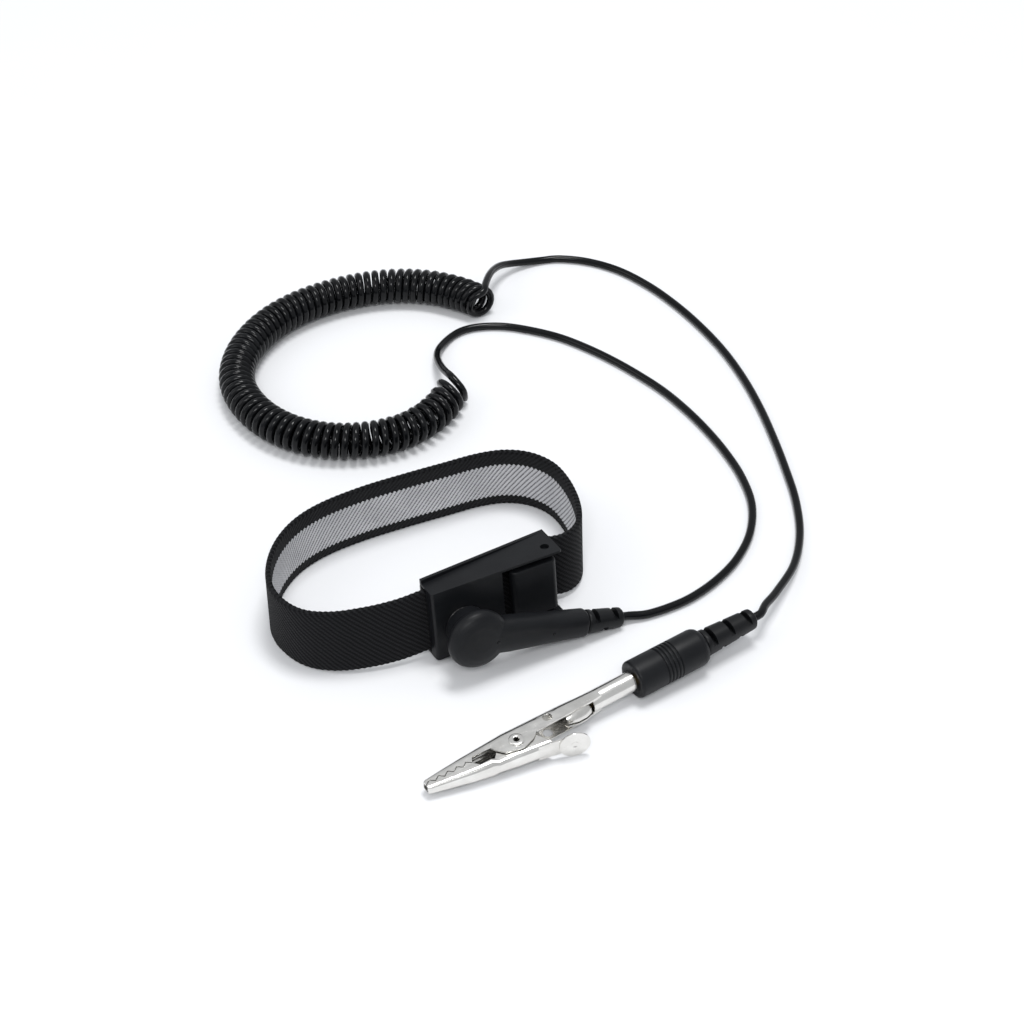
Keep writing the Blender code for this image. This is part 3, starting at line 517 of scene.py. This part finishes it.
def band_inner():
    """The inner face: a silver conductive stripe with a scalloped edge, between black borders, with painted
    shade in the grooves between its threads and in the hollows of the black knit.
    """
    s = Shader("band_knit_silver_stripe")
    height, u, v = knit(s)
    twill = s.math("DIVIDE", s.math("SUBTRACT", u, s.math("MULTIPLY", v, 0.75)), STRIPE_PITCH)
    row = wave(s, twill)
    dots = wave(s, s.math("DIVIDE", s.math("ADD", v, s.math("MULTIPLY", u, 0.2)), STRIPE_STITCH_PITCH))
    thread = s.math("ADD", s.math("MULTIPLY", row, 0.75), s.math("MULTIPLY", dots, 0.25))
    thread = s.math("ADD", thread, s.ramp(s.noise(3000.0, 3.0), 0.3, 0.7, -0.1, 0.1))
    scallop = s.math("MULTIPLY", wave(s, s.math("DIVIDE", u, STRIPE_PITCH)), 0.5)
    upper = s.math("LESS_THAN", s.math("ADD", v, scallop), STRIPE_HIGH)
    lower = s.math("GREATER_THAN", s.math("SUBTRACT", v, scallop), STRIPE_LOW)
    stripe = s.math("MULTIPLY", upper, lower)
    worn = s.ramp(s.noise(120.0, 4.0), 0.3, 0.7, 0.0, 1.0)
    silver = s.mix(worn, (0.50, 0.50, 0.52), (0.60, 0.60, 0.62))
    # Dark grey where the threads are low: painted shade in the grooves between the silver threads
    silver = s.mix(s.ramp(thread, 0.12, 0.42, 1.0, 0.0), silver, (0.07, 0.07, 0.075))
    # The black borders: painted shade in the knit's hollows, as on the outer face
    black = s.mix(s.ramp(height, 0.2, 0.95, 0.0, 1.0), KNIT_PAINTED_SHADE, KNIT_LIGHT)
    colour = s.mix(stripe, black, silver)
    level = s.math("ADD", s.math("MULTIPLY", thread, stripe),
                   s.math("MULTIPLY", height, s.math("SUBTRACT", 1.0, stripe)))
    normal = s.bump(level, 0.0002, 0.9)
    shine = s.ramp(stripe, 0.0, 1.0, 0.9, 0.5)
    return s.finish(Base_Color=colour, Roughness=shine, Normal=normal, Specular_IOR_Level=0.3)


def lacquer():
    """Resistor body: lacquer with generic colour rings."""
    s = Shader("resistor_lacquer")
    rings = s.noise(900.0, 2.0, s.stretched((1.0, 0.05, 0.05)))
    colour = s.mix(s.ramp(rings, 0.5, 0.56, 0.0, 1.0), (0.52, 0.40, 0.25), (0.16, 0.07, 0.03))
    normal = s.bump(s.noise(2500.0, 2.0), 0.00002, 0.4)
    return s.finish(Base_Color=colour, Roughness=s.ramp(s.noise(800.0), 0.3, 0.7, 0.25, 0.4), Normal=normal)


# The way the contact plate's skin side looks; only that side is bare steel
PLATE_FACE = (BUCKLE.to_3x3() @ Vector((-0.118, 0.993, 0.0))).normalized()

HOUSING = plastic("housing_plastic_satin", (0.0045, 0.0050, 0.0062), (0.0068, 0.0075, 0.0088), 0.42, 0.2, 0.5)
RELIEF = plastic("relief_plastic", (0.0042, 0.0046, 0.0055), (0.0062, 0.0067, 0.0076), 0.4, 0.2, 0.4)
JACKET = jacket()
NICKEL = metal("nickel_plate", (0.68, 0.665, 0.635), (0.86, 0.85, 0.82), 0.2, (1.0, 4.0, 4.0), 0.03)
STEEL = metal("brushed_contact_steel", (0.52, 0.51, 0.50), (0.64, 0.63, 0.61), 0.3, (1.0, 14.0, 14.0), 0.7,
              PLATE_FACE)
SPRING = metal("spring_wire_steel", (0.42, 0.42, 0.42), (0.56, 0.56, 0.56), 0.25, (6.0, 6.0, 1.0), 0.4)
BRASS = metal("turned_brass", (0.50, 0.35, 0.14), (0.66, 0.49, 0.22), 0.25, (12.0, 2.0, 2.0), 0.5)
COPPER = metal("bare_copper", (0.55, 0.24, 0.12), (0.72, 0.36, 0.2), 0.3, (1.0, 12.0, 12.0), 0.5)
KNIT = band_outer()
STRIPE = band_inner()


def paint(obj, *materials):
    obj.data.materials.clear()
    for material in materials:
        obj.data.materials.append(material)
    return obj


# --- Cord ------------------------------------------------------------------------------------

def arm_depth(x):
    """Depth of the arm's middle, which grows a little towards its end."""
    return -(ARM_DEPTH + x * ARM_SPREAD)


def connector_place(x):
    return CONNECTOR @ Vector((x, arm_depth(x), 0.0))


def coil_route():
    points = [(42.7, 68.5), (38.5, 64.6), (33.6, 60.5), (26.5, 57.0), (18.0, 55.6), (9.0, 57.0), (0.5, 61.0),
              (-6.5, 67.5), (-11.3, 76.0), (-13.5, 86.0), (-12.8, 96.0), (-8.8, 105.0), (-2.0, 112.8),
              (7.0, 118.8), (17.0, 122.2), (27.5, 123.2), (38.0, 122.2), (48.0, 119.0), (56.5, 113.6),
              (62.8, 106.5), (66.8, 99.3)]
    return smooth_route([(x, y, COIL_HEIGHT) for x, y in points], COIL_STEP)


def lean(axis, turn, lift):
    """The rotation that turns a level axis about the vertical and lifts it, both in degrees."""
    level = axis.xy.normalized()
    angle = math.atan2(level.y, level.x) + math.radians(turn)
    rise = math.radians(lift)
    leaned = Vector((math.cos(angle) * math.cos(rise), math.sin(angle) * math.cos(rise), math.sin(rise)))
    return axis.rotation_difference(leaned)


def pitch_drift(passed):
    """The small unevenness of the coil's pitch along its length."""
    return 1.0 + 0.014 * math.sin(passed * 0.37) + 0.01 * math.sin(passed * 0.91 + 1.0)


def turn_wobble(passed):
    """The small turn about the vertical, in degrees, that keeps the coil's turns from being parallel."""
    return 0.6 * math.sin(passed * 0.53) + 0.4 * math.sin(passed * 1.27)


def coil_points():
    """The wound cord: a whole number of turns that lean at both ends and stand open at the first."""
    route = coil_route()
    steps = [(b - a).length for a, b in zip(route, route[1:])]
    total = sum(steps)
    shares = []
    passed = 0.0
    for step in steps:
        pitch = COIL_PITCH + COIL_OPENING * math.exp(-passed / OPENING_LENGTH)
        shares.append(step / (pitch * pitch_drift(passed)))
        passed += step
    whole = round(sum(shares)) / sum(shares)
    upright = Vector((0.0, 0.0, 1.0))
    points = []
    angle = math.pi / 2
    passed = 0.0
    last_angle = None
    for i, centre in enumerate(route):
        ahead = route[min(i + 1, len(route) - 1)] - route[max(i - 1, 0)]
        tangent = ahead.normalized()
        outward = Vector((-tangent.y, tangent.x, 0.0))
        lean_first = max(0.0, 1.0 - passed / FIRST_LEAN_LENGTH)
        lean_last = max(0.0, 1.0 - (total - passed) / LAST_LEAN_LENGTH)
        offset = (outward * math.cos(angle) + upright * math.sin(angle)) * COIL_RADIUS
        offset = Quaternion(upright, math.radians(turn_wobble(passed))) @ offset
        if lean_first > 0.0:
            offset = Quaternion().slerp(lean(-tangent, *FIRST_LEAN), lean_first) @ offset
        if lean_last > 0.0:
            offset = Quaternion().slerp(lean(tangent, *LAST_LEAN), lean_last) @ offset
        if last_angle is None or last_angle - angle >= math.tau / POINTS_PER_TURN or i == len(route) - 1:
            points.append(centre + offset - upright * FIRST_SAG * lean_first)
            last_angle = angle
        if i < len(route) - 1:
            passed += steps[i]
            angle -= math.tau * shares[i] * whole
    return points


def cord_line():
    """The whole free cord, from the connector's strain relief to the plug's."""
    floor = CORD_RADIUS + FLOOR_GAP
    end = ARM_END + RELIEF_LENGTH + 2 * GAP
    to_layout = LAYOUT_AXES.inverted()
    first = [to_layout @ connector_place(x) for x in (end, end + CORD_STRAIGHT)]
    first += [(45.0, -35.2, 1.3), (51.6, -35.5, floor), (58.6, -34.9, floor), (67.2, -32.4, floor),
              (76.2, -27.9, floor), (84.8, -20.7, floor), (91.5, -11.0, floor), (95.1, -0.1, floor),
              (96.7, 10.7, floor), (97.2, 21.4, floor), (96.8, 31.9, floor), (95.5, 42.2, floor),
              (93.1, 51.8, floor), (90.0, 61.2, floor), (86.2, 70.1, floor), (81.6, 78.4, floor),
              (76.0, 85.2, floor), (69.7, 90.9, floor), (63.3, 94.1, floor), (57.6, 94.9, floor),
              (52.4, 93.2, floor), (47.2, 89.2, 1.8), (44.5, 85.0, 2.9), (42.9, 80.7, 4.2),
              (41.9, 76.8, 5.5), (41.4, 74.1, 6.4), (41.1, 71.7, 7.2)]
    coil = coil_points()
    start = -GRIP_LENGTH - PLUG_RELIEF_LENGTH - 2 * GAP
    second = [(69.3, 102.7, 9.3), (72.6, 107.0, 8.5), (76.1, 110.9, 7.0), (80.2, 114.2, 5.2),
              (84.6, 116.1, 3.3), (89.5, 116.7, 1.9), (95.0, 116.2, floor), (100.8, 114.2, floor),
              (107.9, 108.6, floor), (113.8, 100.2, floor), (117.8, 88.9, floor), (120.0, 76.6, floor),
              (120.9, 63.7, floor), (120.6, 50.5, floor), (118.8, 36.9, floor), (115.8, 23.4, floor),
              (111.9, 10.1, floor), (107.6, -2.7, floor), (102.8, -15.2, floor), (96.4, -27.0, 1.2),
              (87.6, -37.6, 2.4), (76.6, -46.2, 4.6), (70.6, -50.2, 6.0)]
    second += [to_layout @ (PLUG @ Vector((x, 0.0, 0.0))) for x in (start - CORD_STRAIGHT, start)]
    entry = smooth_route(first + [coil[0], coil[3], coil[6]], CORD_STEP)
    leaving = smooth_route([coil[-7], coil[-4], coil[-1]] + second, CORD_STEP)
    line = entry + coil[7:-7] + leaving
    return [LAYOUT_AXES @ point for point in line]


def make_cord():
    """The free cord as one curve; it gives back the piece, its first point and its length."""
    line = cord_line()
    curve = bpy.data.curves.new("coiled_lead", "CURVE")
    curve.dimensions = "3D"
    curve.bevel_depth = CORD_RADIUS * MM
    curve.bevel_resolution = 3
    curve.use_fill_caps = True
    spline = curve.splines.new("POLY")
    spline.points.add(len(line) - 1)
    for spot, point in zip(spline.points, line):
        spot.co = (*point, 1.0)
    spline.use_smooth = True
    cord = bpy.data.objects.new("coiled_lead", curve)
    bpy.context.scene.collection.objects.link(cord)
    paint(cord, JACKET)
    length = sum((b - a).length for a, b in zip(line, line[1:]))
    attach(cord, "lead")
    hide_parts("lead_strap_side", "coil", "lead_plug_side")
    return cord, line[0], length


# --- Band ------------------------------------------------------------------------------------

def band_depth(x):
    """Depth of the band's middle where it lies on the contact plate."""
    back = DEPTH_LEFT + DEPTH_GROWTH * x / BUCKLE_LENGTH
    return back - PLATE_THICKNESS - CLOTH_CLEARANCE - BAND_THICKNESS / 2


def band_in_buckle(places):
    """Points of the band's middle inside the buckle, in the layout's frame."""
    to_layout = LAYOUT_AXES.inverted()
    return [to_layout @ (BUCKLE @ Vector((x, band_depth(x), BUCKLE_MIDDLE))) for x in places]


def band_route():
    left = band_in_buckle((14.0, 9.0, 4.0, -1.0))
    right = band_in_buckle((34.5, 30.5, 26.5, 22.5, 18.6))
    low = BAND_HEIGHT / 2 + FLOOR_GAP
    loop = [(-17.5, -19.9, 10.4), (-25.0, -18.4, 10.0), (-32.5, -15.6, 9.6), (-38.2, -10.9, low),
            (-41.2, -4.6, low), (-41.5, 2.6, low), (-38.4, 10.2, low), (-33.0, 16.8, low),
            (-26.0, 21.6, low), (-17.5, 24.2, low), (-6.0, 25.1, low), (6.0, 24.7, low),
            (17.0, 24.0, low), (26.5, 23.3, low), (33.5, 21.4, low), (39.0, 17.4, low),
            (42.3, 11.2, low), (42.7, 3.8, low), (41.2, -4.4, low), (38.6, -11.0, low),
            (35.2, -15.2, 9.8), (30.6, -17.0, 10.1)]
    return smooth_route(left + loop + right, RIB_PITCH / STEPS_PER_RIB)


def band_section(phase):
    """(across, up) points round the band's section, inner side first, with stitches along both edges."""
    half = BAND_THICKNESS / 2 - SIDE_INSET
    tooth = STITCH_HEIGHT * math.cos(math.tau * phase)
    tall = BAND_HEIGHT / 2 - EDGE_INSET
    flat = tall - 0.6
    rows = [flat * (2 * i / (SIDE_ROWS - 1) - 1.0) for i in range(SIDE_ROWS)]
    section = [(half, up) for up in rows]
    section += [(half * 0.85, tall - 0.15 + tooth * 0.5), (half * 0.45, tall + 0.02 + tooth),
                (-half * 0.45, tall + 0.02 - tooth), (-half * 0.85, tall - 0.15 - tooth * 0.5)]
    section += [(-half, up) for up in reversed(rows)]
    section += [(-half * 0.85, 0.15 - tall + tooth * 0.5), (-half * 0.45, -tall - 0.02 + tooth),
                (half * 0.45, -tall - 0.02 - tooth), (half * 0.85, 0.15 - tall - tooth * 0.5)]
    return section


def make_band():
    """The band as one woven strip; it gives back the piece and its length."""
    route = band_route()
    tool = bmesh.new()
    weave = tool.loops.layers.uv.new("weave")
    loops = []
    places = []
    passed = 0.0
    for i, centre in enumerate(route):
        ahead = route[min(i + 1, len(route) - 1)] - route[max(i - 1, 0)]
        ahead.z = 0.0
        across = Vector((ahead.y, -ahead.x, 0.0)).normalized()
        front = max(0.0, min(1.0, (LEAN_START - centre.y) / LEAN_LENGTH))
        slope = math.radians(BAND_LEAN) * front
        up = Vector((0.0, math.sin(slope), math.cos(slope)))
        across = (across - up * across.dot(up)).normalized()
        section = band_section(passed / RIB_PITCH)
        loops.append([tool.verts.new(centre + across * a + up * b) for a, b in section])
        places.append([(passed / WEAVE_SCALE, b / WEAVE_SCALE) for a, b in section])
        if i < len(route) - 1:
            passed += (route[i + 1] - centre).length
    count = len(loops[0])
    on_stripe = []
    for k, (first, second) in enumerate(zip(loops, loops[1:])):
        for i in range(count):
            j = (i + 1) % count
            face = tool.faces.new((first[i], first[j], second[j], second[i]))
            on_stripe.append(i < SIDE_ROWS - 1)
            spots = (places[k][i], places[k][j], places[k + 1][j], places[k + 1][i])
            for corner, spot in zip(face.loops, spots):
                corner[weave].uv = spot
    for ring, row in ((loops[0], places[0]), (loops[-1], places[-1])):
        face = tool.faces.new(ring)
        for corner, spot in zip(face.loops, row):
            corner[weave].uv = spot
    band = add_mesh("knitted_band", tool, LAYOUT_AXES)
    paint(band, KNIT, STRIPE)
    for face, inside in zip(band.data.polygons, on_stripe):
        face.material_index = 1 if inside else 0
    hole = turned("band_rivet_hole", rod(RIVET_RADIUS, -2.0, 12.0), "Y", BUCKLE, 24, STUD)
    boolean(band, hole, "DIFFERENCE")
    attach(band, "strap")
    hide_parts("band")
    return band, passed * MM


# --- Connector, strain reliefs and grip ------------------------------------------------------

def oval(x, height, thickness, depth, steps=40, squareness=0.75):
    """A ring across X at a depth; squareness 1 makes an ellipse, and less makes it boxier."""
    ring = []
    for i in range(steps):
        angle = math.tau * i / steps
        cosine = math.copysign(abs(math.cos(angle)) ** squareness, math.cos(angle))
        sine = math.copysign(abs(math.sin(angle)) ** squareness, math.sin(angle))
        ring.append((x, depth + thickness / 2 * cosine, height / 2 * sine))
    return ring


def make_connector():
    """The moulded housing: domed head blending into its arm, with two gate marks."""
    head = [(radius, behind - HEAD_DEPTH) for radius, behind in HEAD_PROFILE]
    head += [(COLLAR_RADIUS, -COLLAR_BACK), (0.0, -COLLAR_BACK)]
    housing = turned("connector_shell", head, "Y", CONNECTOR, 72)
    sections = [(0.0, 9.4, 6.8), (9.0, 9.4, 6.8), (14.0, 8.8, 6.6), (22.0, 7.7, 6.5),
                (ARM_END - 0.5, 6.9, 6.2), (ARM_END - 0.05, 6.5, 5.8)]
    rings = [oval(x, tall, thick, arm_depth(x)) for x, tall, thick in sections]
    boolean(housing, loft("connector_arm", rings, CONNECTOR), "UNION")
    remesh = housing.modifiers.new("blend", "REMESH")
    remesh.mode = "VOXEL"
    remesh.voxel_size = SHELL_VOXEL * MM
    remesh.use_smooth_shade = True
    soften = housing.modifiers.new("soften", "SMOOTH")
    soften.factor = 0.5
    soften.iterations = 5
    seat = turned("shell_seat", rod(SEAT_RADIUS, -SEAT_DEPTH, 1.0), "Y", CONNECTOR, 48)
    boolean(housing, seat, "DIFFERENCE")
    bore = [oval(x, ARM_BORE, ARM_BORE, arm_depth(x), 24, 1.0) for x in (2.0, ARM_END + 1.0)]
    boolean(housing, loft("shell_bore", bore, CONNECTOR), "DIFFERENCE")
    pit = [(0.0, -0.6), (0.5, -0.6), (0.42, 0.35), (0.0, 0.4)]
    for i, (x, depth) in enumerate(((4.3, 0.25 - HEAD_DEPTH), (20.0, arm_depth(20.0) - 3.25))):
        mark = turned(f"gate_mark_{i + 1}", pit, "Y", CONNECTOR, 20, (x, depth, 0.0))
        boolean(housing, mark, "DIFFERENCE")
    paint(housing, HOUSING)
    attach(housing, "lead")
    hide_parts("connector_housing")


def make_relief(name, start, length, ends, matrix, cuts, axis_depth, squash, node):
    """Slotted strain relief: a taper with half-slots cut from its two sides in turn."""
    first, last = ends
    stations = [0.0, 0.25, 0.6, length - 0.8, length - 0.25, length]
    sizes = [first - 0.6, first - 0.15, first, last, last - 0.2, last - 0.7]
    rings = []
    for along, size in zip(stations, sizes):
        x = start + along
        rings.append(oval(x, size, size * squash, axis_depth(x), 48, 0.85))
    sleeve = loft(name, rings, matrix)
    pitch = length / (cuts + 0.6)
    for i in range(cuts):
        middle = start + pitch * (i + 0.75)
        side = 1 if i % 2 == 0 else -1
        low, high = sorted((side * SLOT_FLOOR * last, side * first))
        depth = axis_depth(middle)
        cutter = block(f"{name}_slot_{i + 1}", (middle - SLOT_WIDTH / 2, depth - first, low),
                       (middle + SLOT_WIDTH / 2, depth + first, high), matrix)
        boolean(sleeve, cutter, "DIFFERENCE")
    through = (start - 1.0, start + length + 1.0)
    bore = [oval(x, RELIEF_BORE, RELIEF_BORE, axis_depth(x), 20, 1.0) for x in through]
    boolean(sleeve, loft(f"{name}_bore", bore, matrix), "DIFFERENCE")
    bevel(sleeve, 0.12)
    paint(sleeve, RELIEF)
    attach(sleeve, "lead")
    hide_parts(node)
    return sleeve


def make_grip():
    """The plug's grip: rounded ends, and grooves round its middle. The profile is (inset, distance)."""
    rear = -GRIP_LENGTH
    inset = [(0.75, 0.0), (0.4, -0.06), (0.15, -0.22), (0.03, -0.5), (0.0, -0.9), (0.0, -4.0)]
    groove = [(0.0, 0.0), (0.1, 0.05), (0.36, 0.14), (0.36, 0.36), (0.1, 0.45), (0.0, 0.5)]
    for i in range(RIB_COUNT):
        start = FIRST_RIB - RIB_SPACING * i
        inset += [(deep, start - behind) for deep, behind in groove]
    inset += [(0.0, -15.0), (0.0, rear + 1.9), (0.12, rear + 1.2), (0.45, rear + 0.55), (0.9, rear + 0.15),
              (1.4, rear)]
    outside = [(GRIP_RADIUS - deep, along) for deep, along in inset]
    profile = [(GRIP_BORE, 0.0)] + outside + [(GRIP_BORE, rear)]
    grip = turned("plug_grip_shell", profile, "X", PLUG, 80)
    normals = grip.modifiers.new("normals", "WEIGHTED_NORMAL")
    normals.weight = 60
    paint(grip, HOUSING)
    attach(grip, "lead")
    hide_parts("plug_grip")
    return grip


# --- Build -----------------------------------------------------------------------------------

cord, cord_exit, cord_length = make_cord()
make_connector()
make_relief("relief_sleeve_strap", ARM_END + GAP, RELIEF_LENGTH, RELIEF_SIZES, CONNECTOR, 3, arm_depth, 0.95,
            "strain_relief_strap")
back_to_front = PLUG @ Matrix.Translation((-GRIP_LENGTH - GAP, 0.0, 0.0)) @ Matrix.Rotation(math.pi, 4, "Z")
plug_relief = make_relief("relief_sleeve_plug", 0.0, PLUG_RELIEF_LENGTH, PLUG_RELIEF_SIZES, back_to_front, 5,
                          lambda x: 0.0, 1.0, "strain_relief_plug")
grip = make_grip()
band, band_length = make_band()

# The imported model's other pieces: material, radius of the rounded edges, names
FINISHES = [
    (HOUSING, 0.22, ["buckle_frame"]),
    (HOUSING, 0.08, ["connector_back", "cam_lever"]),
    (STEEL, 0.12, ["skin_contact_plate"]),
    (HOUSING, 0.05, ["hinge_pin"]),
    (NICKEL, 0.06, ["snap_stud", "stud_rivet", "snap_socket"]),
    (NICKEL, 0.09, ["clip_upper_jaw", "clip_lower_jaw"]),
    (NICKEL, 0.05, ["clip_rivet"]),
    (SPRING, 0.03, ["socket_spring_ring", "banana_spring", "clip_spring"]),
    (BRASS, 0.05, ["banana_pin"]),
    (COPPER, 0.03, ["resistor_wire_socket_side", "resistor_wire_cord_side", "core_strap_side",
                    "core_plug_side"]),
    (lacquer(), 0.03, ["resistor"]),
]
for material, width, names in FINISHES:
    for name in names:
        paint(finish_node(name, width), material)


# --- Floor and light -------------------------------------------------------------------------

def make_floor():
    tool = bmesh.new()
    bmesh.ops.create_grid(tool, x_segments=8, y_segments=8, size=FLOOR_HALF_SIZE)
    floor = add_mesh("floor", tool, Matrix.Identity(4))
    s = Shader("pale_sweep")
    grain = s.noise(30.0, 3.0)
    colour = s.mix(grain, (0.735, 0.742, 0.757), (0.75, 0.757, 0.772))
    paint(floor, s.finish(Base_Color=colour, Roughness=0.75, Specular_IOR_Level=0.2))


def softbox(name, place, width, height, power):
    data = bpy.data.lights.new(name, "AREA")
    data.shape = "RECTANGLE"
    data.size = width
    data.size_y = height
    data.energy = power
    light = bpy.data.objects.new(name, data)
    bpy.context.scene.collection.objects.link(light)
    light.location = place
    light.rotation_euler = (Vector(LIGHT_TARGET) - Vector(place)).to_track_quat("-Z", "Y").to_euler()


def make_world():
    world = bpy.data.worlds.new("studio")
    world.use_nodes = True
    background = world.node_tree.nodes["Background"]
    background.inputs["Color"].default_value = ROOM_COLOUR
    background.inputs["Strength"].default_value = ROOM_STRENGTH
    bpy.context.scene.world = world
    bpy.context.scene.view_settings.view_transform = "Standard"


make_floor()
make_world()
for name, (place, width, height, power) in SOFTBOXES.items():
    softbox(name, place, width, height, power)
